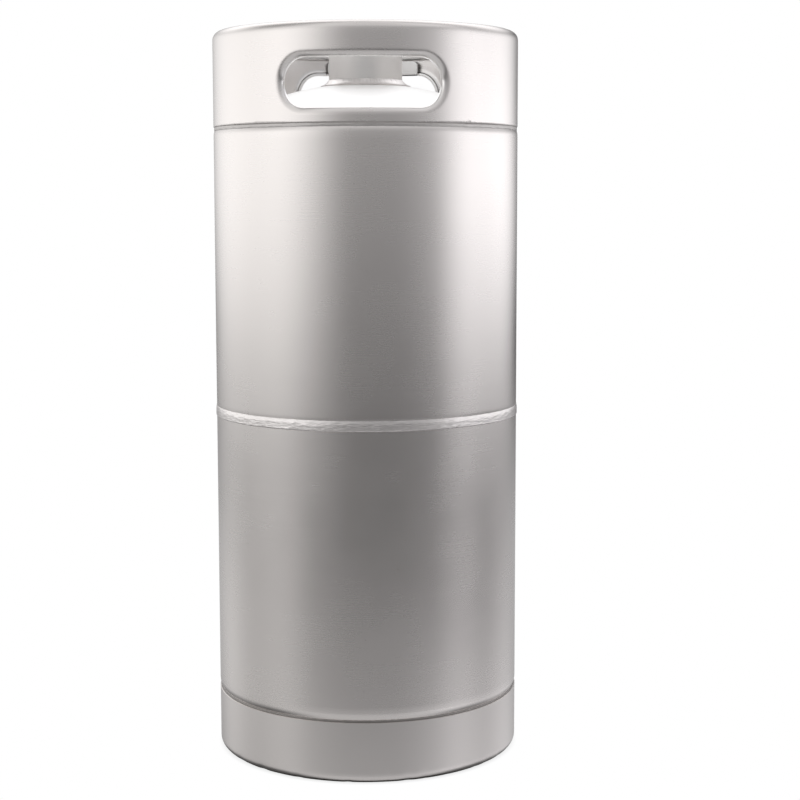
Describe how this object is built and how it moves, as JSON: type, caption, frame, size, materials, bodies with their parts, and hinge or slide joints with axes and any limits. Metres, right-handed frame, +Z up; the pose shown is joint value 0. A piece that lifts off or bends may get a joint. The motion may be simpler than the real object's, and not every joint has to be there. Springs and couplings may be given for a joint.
{
  "type": "beer keg",
  "caption": "Slim stainless beer keg: straight barrel with a girth weld, collar with two handholds, foot ring, neck, and a sprung ball valve with a siphon tube.",
  "frame": {"origin": "middle of the foot ring, on the floor it stands on", "axes": "+Z up along the barrel; the handholds face -Y (front) and +Y (rear)"},
  "size_m": [0.2382, 0.2382, 0.562],
  "materials": {
    "barrel_steel": "satin bead-blasted stainless steel",
    "weld_steel": "rippled weld, brushed",
    "machined_steel": "turned, fine rings",
    "spring_steel": "drawn wire",
    "polished_steel": "polished",
    "seal_rubber": "matt nitrile rubber"
  },
  "bodies": {
    "keg": {"upper_shell": "barrel_steel", "lower_shell": "barrel_steel", "girth_weld": "weld_steel", "top_collar": "barrel_steel", "collar_weld": "weld_steel", "foot_ring": "barrel_steel", "foot_weld": "weld_steel", "neck": "machined_steel", "neck_weld": "weld_steel", "neck_seal": "seal_rubber", "retaining_ring": "spring_steel", "valve_housing": "machined_steel", "spring_cage": "machined_steel", "gas_spring": "spring_steel"},
    "siphon": {"siphon_tube": "machined_steel", "tube_cup": "machined_steel", "gas_seal": "seal_rubber", "seal_core": "machined_steel", "ball_spring": "spring_steel"},
    "ball": {"beer_ball": "polished_steel"}
  },
  "joints": [
    {"name": "siphon_slide", "type": "slide", "parent": "keg", "child": "siphon", "axis": [0, 0, -1], "range_m": [0, 0.007], "stiffness_N_per_m": 1500, "springref_m": -0.01, "deforming": ["gas_spring"]},
    {"name": "ball_slide", "type": "slide", "parent": "siphon", "child": "ball", "axis": [0, 0, -1], "range_m": [0, 0.005], "stiffness_N_per_m": 250, "springref_m": -0.006, "deforming": ["ball_spring"]}
  ]
}
